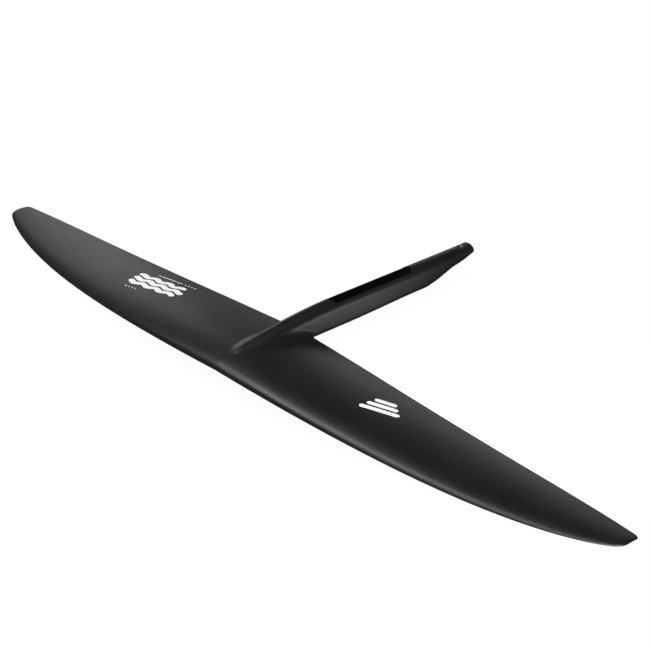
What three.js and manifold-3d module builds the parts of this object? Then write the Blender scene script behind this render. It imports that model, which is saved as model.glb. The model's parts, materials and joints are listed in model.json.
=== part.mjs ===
// One-piece hydrofoil front wing with its fuselage: a high aspect wing, a deep pocket for the mast foot and a
// tapered tail for the stabiliser. Two moulded carbon skins enclose cores, a spar, the pocket's liner and metal
// ferrules. Millimetres. +X port tip, -Y forward, +Z up towards the mast.
// Origin: middle of the mast seat, the pocket's floor.
import * as THREE from "three";
import { mergeVertices } from "three/addons/utils/BufferGeometryUtils.js";
import Module from "manifold-3d";

const wasm = await Module();
wasm.setup();

// Wing
const HALF_SPAN = 600;
const ROOT_TRAILING_Y = -120.5; // trailing edge on the centreline, measured from the mast seat
const ROOT_CHORD = 151.2;
const TIP_LEADING = 36.8; // leading edge of the tip, ahead of ROOT_TRAILING_Y
const PLANFORM_POWERS = [1.88, 0.729]; // shape of the superelliptic leading edge
const TRAILING_SWEEP = [-14.9, 30.8, -25.4]; // trailing edge offset: terms in eta, eta^2 and eta^6
const REFERENCE_Z = 1; // chord plane at the root, above the mast seat
const DROOP = [20, 40.8, -33.1]; // anhedral: terms in eta, eta^2 and eta^4
const TIP_ROUND = { eta: 0.985, leading: 7, trailing: 5 };
const THICKNESS_RATIO = [0.115, 0.09]; // root, tip
const CAMBER = 0.03;
const CAMBER_PLACE = 0.4;
const TRAILING_HALF = 0.4; // half thickness of the trailing edge

// Fuselage
const HALF_WIDTH = 13;
const CREST_Z = 31.6;
const CREST_FALL = 0.0108; // the crest sinks this much per millimetre towards the tail
const CREST_RISE = { end: -60.5, length: 180, height: 17 }; // the ridge grows out of the wing's top
const NOSE_DIP = { start: -225.5, length: 30, depth: 6 };
const BELLY_Z = -10.5;
const BELLY_RISE = { end: -100, length: 150, height: 8 };
const BELLY_REAR = { start: -40, length: 120, height: 2.3 };
const RAMP_Y = 98; // where the underside starts to climb to the tail
const SEAT_RAMP_Y = 116; // from here aft the ramp is the flat stabiliser seat
const RAMP_SLOPES = [0.2, 0.325];
const BELLY_CORNER = 10;
const NOSE_Y = -258;
const TAIL_Y = 187;
const TAIL_HALF_WIDTH = 11.6;
const TAIL_TAPER_Y = 150;
const PARTING_SLOPE = 0.25; // the mould's parting line climbs with the ramp, to the middle of the tail's end

// Laminate and clearance
const SKIN = 1.2;
const FUSELAGE_SKIN = 1.5;
const GAP = 0.3;
const SOLID_NOSE = 44; // the laminate is solid this far behind the nose
const SOLID_TAIL = 4;

// Mast pocket
const POCKET_WIDTH = 18;
const POCKET_LENGTH = 148;
const LINER_WALL = 1.9;
const LINER_FLOOR = 2.5;
const POCKET_ZONE_FRONT = -(POCKET_LENGTH / 2 + LINER_WALL + 1);
const MAST_SCREW_Y = [-45, 45];
const MAST_SCREW = { bore: 4.2, body: 5.6, flange: 7.2, flangeHeight: 2.2, chamfer: 1.4, sunk: 0.4 };

// Stabiliser screw at the tail
const TAIL_SCREW_Y = 172;
const TAIL_SCREW = { bore: 3.2, body: 4.6, head: 6.2, headDepth: 3.4, sunk: 1.1, seatSunk: 1.8 };

// Cores and spar, as fractions of the chord
const CAVITY = { leading: 0.035, trailing: 0.9, trailingTaper: 0.2, eta: 0.88 };
const SPAR = { front: 0.24, rear: 0.4, cap: 1.0 };
const FILLER_LEADING = 0.09;
const FILLER_TRAILING_SHARE = 0.9; // of the cavity's trailing limit
const SPLIT = 0.0015; // half the gap between neighbouring cores, as a share of the chord
const CORE_START_X = 14.2;
const TAIL_BLOCK_Y = 150;

const carbon = new THREE.MeshStandardMaterial({ color: 0x232325, roughness: 0.42, metalness: 0.1 });
const wetCarbon = new THREE.MeshStandardMaterial({ color: 0x101011, roughness: 0.6, metalness: 0.1 });
const foam = new THREE.MeshStandardMaterial({ color: 0xc9b98a, roughness: 0.9, metalness: 0 });
const steel = new THREE.MeshStandardMaterial({ color: 0x9a9da1, roughness: 0.35, metalness: 1 });

const part = new THREE.Group();

// A closed geometry as a manifold solid, and back as a named mesh.
function solid(geometry) {
  const bare = geometry.clone();
  bare.deleteAttribute("normal");
  bare.deleteAttribute("uv");
  const merged = mergeVertices(bare, 1e-4);
  return new wasm.Manifold(
    new wasm.Mesh({
      numProp: 3,
      vertProperties: merged.attributes.position.array,
      triVerts: new Uint32Array(merged.index.array),
    }),
  );
}

function addPiece(name, body, material) {
  const cut = body.getMesh();
  const geometry = new THREE.BufferGeometry();
  geometry.setAttribute("position", new THREE.BufferAttribute(cut.vertProperties, 3));
  geometry.setIndex(new THREE.BufferAttribute(cut.triVerts, 1));
  geometry.computeVertexNormals();
  const mesh = new THREE.Mesh(geometry, material);
  mesh.name = name;
  part.add(mesh);
}

// The same closed geometry with its faces turned the other way, where they point inwards.
function outward(geometry) {
  const made = solid(geometry);
  if (made.volume() > 0) return made;
  const index = geometry.index.array;
  for (let i = 0; i < index.length; i += 3) [index[i + 1], index[i + 2]] = [index[i + 2], index[i + 1]];
  return solid(geometry);
}

// A closed solid through a row of loops with the same number of points, each end closed by a fan.
function loft(loops) {
  const count = loops[0].length;
  const points = loops.flat();
  const triangles = [];
  for (let i = 0; i + 1 < loops.length; i++)
    for (let j = 0; j < count; j++) {
      const a = i * count + j;
      const b = i * count + ((j + 1) % count);
      triangles.push(a, b, a + count, b, b + count, a + count);
    }
  for (const [first, flip] of [[0, true], [(loops.length - 1) * count, false]]) {
    const middle = new THREE.Vector3();
    for (let j = 0; j < count; j++) middle.addScaledVector(points[first + j], 1 / count);
    const centre = points.push(middle) - 1;
    for (let j = 0; j < count; j++) {
      const pair = [first + j, first + ((j + 1) % count)];
      triangles.push(centre, ...(flip ? pair.reverse() : pair));
    }
  }
  const geometry = new THREE.BufferGeometry().setFromPoints(points);
  geometry.setIndex(triangles);
  return outward(geometry);
}

function boxBetween(low, high) {
  const geometry = new THREE.BoxGeometry(high[0] - low[0], high[1] - low[1], high[2] - low[2]);
  geometry.translate((low[0] + high[0]) / 2, (low[1] + high[1]) / 2, (low[2] + high[2]) / 2);
  return solid(geometry);
}

function uprightCylinder(radius, y, low, high) {
  const geometry = new THREE.CylinderGeometry(radius, radius, high - low, 24);
  geometry.rotateX(Math.PI / 2).translate(0, y, (low + high) / 2);
  return solid(geometry);
}

// A turned ring about the upright axis at y, from its (radius, height) profile.
function turned(profile, y) {
  const geometry = new THREE.LatheGeometry(
    [...profile, profile[0]].map(([radius, height]) => new THREE.Vector2(radius, height)),
    24,
  );
  geometry.rotateX(Math.PI / 2).translate(0, y, 0);
  return outward(geometry);
}

// An upright prism whose plan is a slot with full round ends, centred on the origin.
function slotPrism(width, length, low, high) {
  const radius = width / 2;
  const straight = length / 2 - radius;
  const plan = new THREE.Shape();
  plan.absarc(0, straight, radius, 0, Math.PI, false);
  plan.absarc(0, -straight, radius, Math.PI, 2 * Math.PI, false);
  const geometry = new THREE.ExtrudeGeometry(plan, {
    depth: high - low,
    bevelEnabled: false,
    curveSegments: 12,
  });
  geometry.translate(0, 0, low);
  return solid(geometry);
}

// Planform, droop and section of the wing. eta runs from 0 on the centreline to 1 at either tip.
const cornerPull = (eta, reach) => {
  const t = Math.max(0, (eta - TIP_ROUND.eta) / (1 - TIP_ROUND.eta));
  return reach * (1 - Math.sqrt(1 - Math.min(1, t * t)));
};
const leadingEdge = (eta) =>
  ROOT_TRAILING_Y -
  TIP_LEADING -
  (ROOT_CHORD - TIP_LEADING) * (1 - eta ** PLANFORM_POWERS[0]) ** PLANFORM_POWERS[1] +
  cornerPull(eta, TIP_ROUND.leading);
const trailingEdge = (eta) =>
  ROOT_TRAILING_Y +
  TRAILING_SWEEP[0] * eta +
  TRAILING_SWEEP[1] * eta ** 2 +
  TRAILING_SWEEP[2] * eta ** 6 -
  cornerPull(eta, TIP_ROUND.trailing);
const droopZ = (eta) => REFERENCE_Z - DROOP[0] * eta - DROOP[1] * eta ** 2 - DROOP[2] * eta ** 4;
const halfThickness = (s) =>
  5 * (0.2969 * Math.sqrt(s) - 0.126 * s - 0.3516 * s ** 2 + 0.2843 * s ** 3 - 0.1036 * s ** 4);
const camberLine = (s) =>
  s < CAMBER_PLACE
    ? (CAMBER / CAMBER_PLACE ** 2) * (2 * CAMBER_PLACE * s - s * s)
    : (CAMBER / (1 - CAMBER_PLACE) ** 2) * (1 - 2 * CAMBER_PLACE + 2 * CAMBER_PLACE * s - s * s);

// A point of the wing at x and chord fraction s; side is 1 above and -1 below, inset moves it into the wing.
function wingPoint(x, s, side, inset) {
  const eta = Math.min(1, Math.abs(x) / HALF_SPAN);
  const front = leadingEdge(eta);
  const chord = trailingEdge(eta) - front;
  const ratio = THREE.MathUtils.lerp(THICKNESS_RATIO[0], THICKNESS_RATIO[1], eta);
  const half = chord * ratio * halfThickness(s) + TRAILING_HALF * s - inset;
  return new THREE.Vector3(x, front + chord * s, droopZ(eta) + chord * camberLine(s) + side * half);
}

// Evenly spaced numbers, and numbers that crowd towards both ends.
const spaced = (from, to, count) =>
  Array.from({ length: count + 1 }, (_, i) => from + ((to - from) * i) / count);
const clustered = (from, to, count) =>
  spaced(0, Math.PI, count).map((angle) => from + ((to - from) * (1 - Math.cos(angle))) / 2);

// The whole outside of the wing.
function wingOutside() {
  const fractions = clustered(0, 1, 14);
  const stations = spaced(-Math.PI / 2, Math.PI / 2, 30).map((angle) => HALF_SPAN * Math.sin(angle));
  return loft(
    stations.map((x) => [
      ...fractions.map((s) => wingPoint(x, s, 1, 0)),
      ...fractions.slice(1).reverse().map((s) => wingPoint(x, s, -1, 0)),
    ]),
  );
}

// Chordwise zones inside the skins, each a list of chord fractions at eta. Neighbours share their border.
const cavityRear = (eta) => CAVITY.trailing - CAVITY.trailingTaper * eta ** 2;
const rearCoreEnd = (eta) => FILLER_TRAILING_SHARE * cavityRear(eta);
const zones = {
  leadingFiller: () => spaced(CAVITY.leading, FILLER_LEADING, 2),
  frontCore: () => spaced(FILLER_LEADING, SPAR.front, 2),
  spar: () => spaced(SPAR.front, SPAR.rear, 2),
  rearCore: (eta) => spaced(SPAR.rear, rearCoreEnd(eta), 3),
  trailingFiller: (eta) => spaced(rearCoreEnd(eta), cavityRear(eta), 2),
};
const wholeCavity = (eta) => [...new Set(Object.values(zones).flatMap((zone) => zone(eta)))];
const trimmed = (zone) => (eta) => {
  const fractions = zone(eta);
  fractions[0] += SPLIT;
  fractions[fractions.length - 1] -= SPLIT;
  return fractions;
};

// A slab inside the wing over a zone of its chord, with its insets from the two surfaces.
function wingSlab(stations, zone, upper, lower) {
  return loft(
    stations.map((x) => {
      const fractions = zone(Math.abs(x) / HALF_SPAN);
      return [...fractions.map((s) => upper(x, s)), ...fractions.reverse().map((s) => lower(x, s))];
    }),
  );
}
const underTop = (inset) => (x, s) => wingPoint(x, s, 1, inset);
const overBottom = (inset) => (x, s) => wingPoint(x, s, -1, inset);

// Fuselage: crest, belly and half width along y. Its section is a round crown over flat sides and a rounded belly.
const squareFrom = (distance, length, height) => height * Math.max(0, distance / length) ** 2;
const crestZ = (y) =>
  CREST_Z -
  CREST_FALL * Math.max(0, y - CREST_RISE.end) -
  squareFrom(CREST_RISE.end - y, CREST_RISE.length, CREST_RISE.height) -
  squareFrom(NOSE_DIP.start - y, NOSE_DIP.length, NOSE_DIP.depth);
const bellyZ = (y) =>
  BELLY_Z +
  squareFrom(BELLY_RISE.end - y, BELLY_RISE.length, BELLY_RISE.height) +
  BELLY_REAR.height * THREE.MathUtils.smoothstep(y, BELLY_REAR.start, BELLY_REAR.start + BELLY_REAR.length) +
  RAMP_SLOPES[0] * Math.max(0, Math.min(y, SEAT_RAMP_Y) - RAMP_Y) +
  RAMP_SLOPES[1] * Math.max(0, y - SEAT_RAMP_Y);
const halfWidth = (y) =>
  THREE.MathUtils.lerp(HALF_WIDTH, TAIL_HALF_WIDTH, THREE.MathUtils.smoothstep(y, TAIL_TAPER_Y, TAIL_Y));

const FUSELAGE_STATIONS = [
  ...spaced(NOSE_Y, POCKET_ZONE_FRONT, 9),
  ...spaced(POCKET_ZONE_FRONT, -POCKET_ZONE_FRONT, 6).slice(1),
  RAMP_Y,
  SEAT_RAMP_Y,
  TAIL_BLOCK_Y,
  TAIL_TAPER_Y + 18,
];

function fuselageLoop(y, inset) {
  const top = crestZ(y) - inset;
  const bottom = bellyZ(y) + inset;
  const wide = halfWidth(y) - inset;
  const crown = Math.min(wide, 0.75 * (top - bottom));
  const corner = Math.min(BELLY_CORNER - inset, top - bottom - crown - 0.5);
  const upper = spaced(0, Math.PI, 16).map(
    (angle) => new THREE.Vector3(wide * Math.cos(angle), y, top - crown + crown * Math.sin(angle)),
  );
  const lower = [-1, 1].flatMap((side) => {
    const angles = spaced(0, Math.PI / 2, 4);
    const arc = (side < 0 ? angles : angles.reverse()).map(
      (angle) =>
        new THREE.Vector3(
          side * (wide - corner + corner * Math.cos(angle)),
          y,
          bottom + corner - corner * Math.sin(angle),
        ),
    );
    return arc;
  });
  return [...upper, ...lower];
}

function fuselage(from, to, inset) {
  const between = FUSELAGE_STATIONS.filter((y) => y > from + 1 && y < to - 1);
  return loft([from, ...between, to].map((y) => fuselageLoop(y, inset)));
}

const cavityEdge = CAVITY.eta * HALF_SPAN;
const wideStations = spaced(-cavityEdge, cavityEdge, 22);
const pocketTop = CREST_Z + 10;

// One side of the mould's parting sheet, which follows the droop of the wing, cuts the fuselage level and climbs
// with the ramp.
function halfSpace(side) {
  const margin = 40;
  const stations = spaced(-HALF_SPAN - margin, HALF_SPAN + margin, 26);
  const [front, rear] = [NOSE_Y - margin, TAIL_Y + margin];
  const rise = PARTING_SLOPE * (rear - RAMP_Y);
  const away = side * 60;
  return loft(
    stations.map((x) => {
      const z = droopZ(Math.min(1, Math.abs(x) / HALF_SPAN)) + (side * GAP) / 2;
      return [
        new THREE.Vector3(x, front, z),
        new THREE.Vector3(x, RAMP_Y, z),
        new THREE.Vector3(x, rear, z + rise),
        new THREE.Vector3(x, rear, z + rise + away),
        new THREE.Vector3(x, front, z + away),
      ];
    }),
  );
}

const outside = wingOutside().add(fuselage(NOSE_Y, TAIL_Y, 0));
const wingHollow = wingSlab(wideStations, wholeCavity, underTop(SKIN), overBottom(SKIN));
const hollowFront = NOSE_Y + SOLID_NOSE;
const hollowRear = TAIL_Y - SOLID_TAIL;
const hollow = wingHollow.add(fuselage(hollowFront, hollowRear, FUSELAGE_SKIN));
const pocket = slotPrism(POCKET_WIDTH, POCKET_LENGTH, 0, pocketTop);
const shell = outside.subtract(hollow);

// Skins
const headTop = crestZ(TAIL_SCREW_Y) - TAIL_SCREW.sunk;
const headBottom = headTop - TAIL_SCREW.headDepth;
const tailScrewHole = uprightCylinder(TAIL_SCREW.head + GAP, TAIL_SCREW_Y, headBottom - GAP, pocketTop).add(
  uprightCylinder(TAIL_SCREW.body + GAP, TAIL_SCREW_Y, 0, pocketTop),
);
const mastHoles = (body, radius, low, high) =>
  MAST_SCREW_Y.reduce((rest, y) => rest.subtract(uprightCylinder(radius, y, low, high)), body);
const flangeHole = MAST_SCREW.flange + GAP;
addPiece("upper_skin", shell.intersect(halfSpace(1)).subtract(pocket).subtract(tailScrewHole), carbon);
const lowerShell = shell.intersect(halfSpace(-1)).subtract(tailScrewHole);
addPiece("lower_skin", mastHoles(lowerShell, flangeHole, -20, 0), carbon);

// Spar caps run through the fuselage from side to side.
const inCap = SKIN + GAP;
const belowCap = inCap + SPAR.cap + GAP;
const capStations = wideStations.map((x) => x * (1 - GAP / cavityEdge));
const sparZone = trimmed(zones.spar);
const upperCap = wingSlab(capStations, sparZone, underTop(inCap), underTop(inCap + SPAR.cap));
const lowerCap = wingSlab(capStations, sparZone, overBottom(inCap + SPAR.cap), overBottom(inCap));
addPiece("upper_spar_cap", upperCap, wetCarbon);
addPiece("lower_spar_cap", lowerCap, wetCarbon);

// Each half wing holds edge fillers, two foam cores and the spar's web core.
const halfStations = [
  CORE_START_X,
  ...wideStations.filter((x) => x > CORE_START_X && x < cavityEdge),
  cavityEdge - GAP,
];
const innerPieces = [
  ["_leading_edge_filler", zones.leadingFiller, inCap, wetCarbon],
  ["_front_core", zones.frontCore, inCap, foam],
  ["_spar_web", zones.spar, belowCap, wetCarbon],
  ["_rear_core", zones.rearCore, inCap, foam],
  ["_trailing_edge_filler", zones.trailingFiller, inCap, wetCarbon],
];
for (const [sideName, side] of [["port", 1], ["starboard", -1]]) {
  const stations = halfStations.map((x) => side * x);
  for (const [pieceName, zone, inset, material] of innerPieces) {
    const slab = wingSlab(stations, trimmed(zone), underTop(inset), overBottom(inset));
    addPiece(sideName + pieceName, slab, material);
  }
}

// Fuselage filling: front beam round the spar caps, pocket liner, belly block, rear core and tail block.
const inFuselage = FUSELAGE_SKIN + GAP;
const linerWidth = POCKET_WIDTH + 2 * LINER_WALL;
const linerLength = POCKET_LENGTH + 2 * LINER_WALL;
const throughStations = [-30, 0, 30];
const upperCapSlot = wingSlab(throughStations, zones.spar, underTop(SKIN), underTop(belowCap));
const lowerCapSlot = wingSlab(throughStations, zones.spar, overBottom(belowCap), overBottom(SKIN));
const frontBeam = fuselage(hollowFront + GAP, POCKET_ZONE_FRONT, inFuselage)
  .subtract(upperCapSlot)
  .subtract(lowerCapSlot);
addPiece("fuselage_front_beam", frontBeam, wetCarbon);

const pocketZone = fuselage(POCKET_ZONE_FRONT + GAP, -POCKET_ZONE_FRONT, inFuselage);
const linerBlank = slotPrism(linerWidth, linerLength, -LINER_FLOOR, pocketTop);
const liner = linerBlank.intersect(pocketZone).subtract(pocket);
addPiece("mast_pocket_liner", mastHoles(liner, MAST_SCREW.bore, -20, 5), wetCarbon);

const bellyTop = -LINER_FLOOR - GAP;
const bellyBlock = pocketZone.intersect(boxBetween([-20, -90, -20], [20, 90, bellyTop]));
addPiece("belly_block", mastHoles(bellyBlock, flangeHole, -20, 0), wetCarbon);

addPiece("fuselage_rear_core", fuselage(-POCKET_ZONE_FRONT + GAP, TAIL_BLOCK_Y, inFuselage), foam);
const tailBlock = fuselage(TAIL_BLOCK_Y + GAP, hollowRear - GAP, inFuselage);
addPiece("tail_block", tailBlock.subtract(tailScrewHole), wetCarbon);

// Metal ferrules
MAST_SCREW_Y.forEach((y, i) => {
  const bottom = bellyZ(y) + MAST_SCREW.sunk;
  const profile = [
    [MAST_SCREW.bore, bottom + MAST_SCREW.chamfer],
    [MAST_SCREW.bore + MAST_SCREW.chamfer, bottom],
    [MAST_SCREW.flange, bottom],
    [MAST_SCREW.flange, bottom + MAST_SCREW.flangeHeight],
    [MAST_SCREW.body, bottom + MAST_SCREW.flangeHeight],
    [MAST_SCREW.body, bellyTop],
    [MAST_SCREW.bore, bellyTop],
  ];
  addPiece(i ? "rear_mast_screw_ferrule" : "front_mast_screw_ferrule", turned(profile, y), steel);
});
const seatBottom = bellyZ(TAIL_SCREW_Y) + TAIL_SCREW.seatSunk;
addPiece(
  "tail_screw_ferrule",
  turned(
    [
      [TAIL_SCREW.bore, seatBottom],
      [TAIL_SCREW.body, seatBottom],
      [TAIL_SCREW.body, headBottom],
      [TAIL_SCREW.head, headBottom + 0.8],
      [TAIL_SCREW.head, headTop],
      [TAIL_SCREW.head - 0.6, headTop],
      [TAIL_SCREW.bore, headBottom + 0.4],
    ],
    TAIL_SCREW_Y,
  ),
  steel,
);

export default part;
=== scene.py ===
"""Looks of a one-piece hydrofoil front wing with its fuselage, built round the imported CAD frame."""

import json
import math

import bmesh
import bpy
import numpy as np
from mathutils import Matrix, Vector


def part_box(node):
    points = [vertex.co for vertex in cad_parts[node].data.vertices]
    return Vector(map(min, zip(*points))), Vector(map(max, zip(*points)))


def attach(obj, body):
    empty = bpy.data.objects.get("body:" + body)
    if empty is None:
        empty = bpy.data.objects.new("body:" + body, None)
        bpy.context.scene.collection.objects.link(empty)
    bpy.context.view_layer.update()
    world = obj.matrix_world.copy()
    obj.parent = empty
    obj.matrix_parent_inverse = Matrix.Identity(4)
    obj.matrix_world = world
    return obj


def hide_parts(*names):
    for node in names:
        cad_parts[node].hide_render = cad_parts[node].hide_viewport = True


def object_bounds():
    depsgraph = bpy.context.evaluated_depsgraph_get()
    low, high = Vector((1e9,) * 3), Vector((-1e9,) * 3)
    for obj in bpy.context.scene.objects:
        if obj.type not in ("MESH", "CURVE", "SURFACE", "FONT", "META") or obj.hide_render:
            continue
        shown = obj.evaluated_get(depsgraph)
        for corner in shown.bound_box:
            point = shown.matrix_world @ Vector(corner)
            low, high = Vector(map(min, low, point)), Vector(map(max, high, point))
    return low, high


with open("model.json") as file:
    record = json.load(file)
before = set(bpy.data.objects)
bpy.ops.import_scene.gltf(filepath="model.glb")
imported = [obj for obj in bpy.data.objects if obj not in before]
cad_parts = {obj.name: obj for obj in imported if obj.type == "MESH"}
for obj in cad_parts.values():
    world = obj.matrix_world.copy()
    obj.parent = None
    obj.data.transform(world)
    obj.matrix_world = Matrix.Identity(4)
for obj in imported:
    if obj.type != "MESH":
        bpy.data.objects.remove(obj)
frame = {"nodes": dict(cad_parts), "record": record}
cad_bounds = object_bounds()

MM = 0.001
UPPER, LOWER = 1, -1

# The design's dimensions in millimetres. The half span and the tail's end are read from the frame.
HALF_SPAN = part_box("upper_skin")[1].x / MM
TAIL_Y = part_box("upper_skin")[1].y / MM
ROOT_CHORD = 151.2
ROOT_TRAILING_Y = -120.5
TIP_LEADING = 36.8
PLANFORM_POWERS = (1.88, 0.729)
TRAILING_SWEEP = (-14.9, 30.8, -25.4)
REFERENCE_Z = 1.0
DROOP = (20.0, 40.8, -33.1)
TIP_ROUND_ETA, TIP_ROUND_LEADING, TIP_ROUND_TRAILING = 0.985, 7.0, 5.0
TIP_EDGE = 2.4  # the last stretch of the span over which the tip's edge is rounded
THICKNESS_RATIO = (0.115, 0.09)
CAMBER, CAMBER_PLACE = 0.03, 0.4
TRAILING_HALF = 0.4

HALF_WIDTH, TAIL_HALF_WIDTH, TAIL_TAPER_Y = 13.0, 11.6, 150.0
CREST_Z, CREST_FALL = 31.6, 0.0108
CREST_RISE_END, CREST_RISE_LENGTH, CREST_RISE_HEIGHT = -60.5, 180.0, 17.0
NOSE_DIP_START, NOSE_DIP_LENGTH, NOSE_DIP_DEPTH = -225.5, 30.0, 6.0
CROWN_SHARE, LEAST_SIDE = 0.75, 0.5  # the crown's share of the height at most, and the side's height at least
BELLY_Z, BELLY_CORNER = -10.5, 10.0
BELLY_RISE_END, BELLY_RISE_LENGTH, BELLY_RISE_HEIGHT = -100.0, 150.0, 8.0
BELLY_REAR_START, BELLY_REAR_LENGTH, BELLY_REAR_HEIGHT = -40.0, 120.0, 2.3
RAMP_Y, SEAT_RAMP_Y, RAMP_SLOPES = 98.0, 116.0, (0.2, 0.325)
PARTING_SLOPE = 0.25

POCKET_WIDTH, POCKET_LENGTH, POCKET_LIP = 18.0, 148.0, 0.9
MAST_SCREW_Y = (-45.0, 45.0)
FLANGE_HOLE, TAIL_SCREW_Y, TAIL_TOP_HOLE, TAIL_BOTTOM_HOLE = 7.5, 172.0, 6.5, 4.9
HOLE_LIP = 0.5
LIP_BEND = 0.3  # a bore's lip bends through this share of its width and depth
LINER_WALL, LINER_FLOOR, FLOOR_FILLET, SEAM = 1.9, 2.5, 1.5, 0.3
MAST_BORE, MAST_COUNTERSINK, FLANGE_RIM, FLANGE_HEIGHT = 4.2, 1.4, 1.6, 2.2
TAIL_BORE, TAIL_HEAD_DEPTH, EDGE_BREAK = 3.2, 3.4, 0.2
HEAD_SLANT, HEAD_RIM, HEAD_SEAT = 0.8, 0.6, 0.4  # of the tail's ferrule

FILLET = {UPPER: 14.0, LOWER: 9.0}
FILLET_AFT, FILLET_OUT = 16.0, 12.0  # how far the fillet runs behind the trailing edge, and out along it
CORNER_SPACING = 0.25  # how much of the chord rows' spacing is left in that corner at least
FILLET_FADE, FADE_POWER = 36.0, 2.5  # how far ahead of the trailing edge it starts to turn, and how gently
FILLET_EASE, FILLET_EASE_RISE = 1.6, 6.0  # the fillet is this much larger where the ridge starts
RIDGE_START, RIDGE_END, RIDGE_SOFTNESS = -235.0, -175.0, 1.5
SKIN, FUSELAGE_SKIN, SKIN_BLEND = 1.2, 1.5, (16.0, 40.0)  # the skin's thickness changes between these x
NEAREST_MIDDLE, LEAST_UPRIGHT = 0.999, 0.05  # keep the inner surface on its own side of the wing's middle
TAIL_ROUND, TAIL_ROUND_HEIGHT = 1.6, 0.8  # how far the tail's end is rounded, and the share of it in height
TAIL_THINNING, TAIL_THIN_LENGTH = 0.5, 7.0  # the skins get this much thinner over the tail's last stretch

# How finely the surfaces are divided
ZONE_X = 50.0  # inside this the wing is blended with the fuselage
CHORD_ROWS, SPAN_COLUMNS, TOP_COLUMNS, ROOT_COLUMNS = 76, 84, 30, 30
FLAT_SPLIT = 0.45  # the share of a root row that its top columns take where there's no ridge
ARC_POINTS, BODY_POINTS, FILLET_POINTS, WING_POINTS, FOOT_PASSES = 41, 60, 40, 40, 6
TUBE_STEP, OPENING_ROWS, TAIL_ROWS = 4.0, 9, 8
TAIL_GAP, OPENING_GAP, TUBE_GAP = 0.03, 0.08, 1.4  # how close the fuselage's rows may come
CAP_SHARES = (0.75, 0.5, 0.25, 0.0)
LIP_STEPS, FLOOR_STEPS, SLOPE_STEP = 5, 5, 0.05
ON_RIM, TOUCHING, RIM_TOUCHING, ROUNDING = 2e-3, 1e-3, 2e-4, 1e-6

# Printed marks, in plan
PRINT, NARROWEST, PRINT_STEP, PRINT_COLUMNS, FEWEST_STEPS = 0.05, 0.02, 1.2, 4, 8
HEADING_REACH = 0.02  # a print's heading is measured over this share of its length, both ways
BARS_CENTRE, BARS_ALONG, BARS_ACROSS = (211.0, -174.5), (0.9, 0.43), (-0.43, 0.9)
BAR_LENGTHS, BAR_PITCH, BAR_HALF = (54.0, 42.0, 30.0), 11.5, 3.9
WAVES_CENTRE, WAVES_ALONG, WAVES_ACROSS = (-237.0, -174.0), (0.995, 0.1), (-0.1, 0.995)
WAVE_SPANS = ((-45.0, 44.0), (-48.0, 48.0), (-50.0, 38.0))
WAVE_PITCH, WAVE_HALF, WAVE_HEIGHT, WAVE_LENGTH, WAVE_POINTS = 13.0, 4.3, 2.4, 25.0, 60
LINE_OFFSET, LINE_HALF, LINE_SPAN = 29.0, 0.8, (-28.0, 18.0)
DOTS, DOT_HALF, DOT_PITCH, DOTS_START = 4, 1.3, 6.0, -33.0

# Finishes
TOW, BARE_TOW = 0.002, 0.0016  # width of a tow in metres, on the skins and on the bare laminate
SIDE_WALL = 0.72  # where a surface faces sideways more than this, the weave is laid on it from the side
CARBON_DARK, CARBON_LIGHT, CARBON_CLOUD, CARBON_ROUGH = 0.0044, 0.0076, 0.01, (0.29, 0.35)
BRIGHT_STEEL = (0.2, 0.3, 0.26, 0.4)  # darker and lighter level, lower and higher roughness
# painted shade: a much darker, rougher copy of the same steel for the tail screw's ring, standing in for the
# shade in its hole and dimming its glint
HOLE_SHADE_STEEL = (0.06, 0.1, 0.5, 0.62)
STEEL_TINT = 0.03

# Camera and studio
LOOK_AT = (0.0, ROOT_TRAILING_Y, REFERENCE_Z)
CAMERA_AZIMUTH, CAMERA_ELEVATION, LENS = 132.077, 28.341, 137.22
CAMERA_PLACE = (29.397, 8.25, 3260.87)  # right, up and back from LOOK_AT, in millimetres
SENSOR, FARTHEST_SEEN = 36.0, 50.0
SKY = ((0, 0.4), (8, 0.25), (18, 0.08), (30, 0.015), (90, 0.015))  # elevation in degrees, brightness
SOFTBOXES = {  # target, azimuth, elevation, distance, width and height in degrees, brightness
    "port_rear_strip": ((0.27, -0.14, 0.0), 323.0, 16.5, 1.3, 24.0, 12.0, 0.5),
    "starboard_rear_strip": ((-0.48, -0.15, -0.02), 304.0, 18.0, 1.3, 26.0, 34.0, 0.375),
    "upright_strip_low": ((0.0, -0.2, 0.0), 265.0, 49.0, 6.0, 14.0, 12.0, 1.7),
    "upright_strip_high": ((0.0, -0.2, 0.0), 260.0, 64.0, 6.0, 14.0, 20.0, 3.9),
    "key_box": ((0.0, -0.1, 0.0), 135.0, 60.0, 6.0, 32.0, 32.0, 9.5),
}
WATTS = 4.0  # an area light of one square metre and this many watts has a brightness of one
FLOOR_HALF, FLOOR_CELLS, FLOOR_CLEARANCE, FLOOR_SHOWN, FLOOR_GREY = 9.0, 24, 0.0005, 0.97, (0.03, 0.035)
GLOW_PLACE, GLOW_STRETCH, GLOW_REACH, GLOW = (0.28, 0.0), 0.8, 0.264, (3.4, 0.02)


def smoothstep(value, start, end):
    """0 before the start and 1 after the end, with a smooth rise between them."""
    t = np.clip((value - start) / (end - start), 0, 1)
    return t * t * (3 - 2 * t)


def square_from(distance, length, height):
    """A parabola that leaves zero at the distance 0 and reaches the height at the length."""
    return height * np.maximum(0, distance / length) ** 2


# ---------------------------------------------------------------------------------------------
# The design's curves, for one number or an array of them


def corner_pull(eta, reach):
    """How far a wing edge is pulled in to round the tip off in plan."""
    t = np.clip((eta - TIP_ROUND_ETA) / (1 - TIP_ROUND_ETA), 0, 1)
    return reach * (1 - np.sqrt(1 - t * t))


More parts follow.
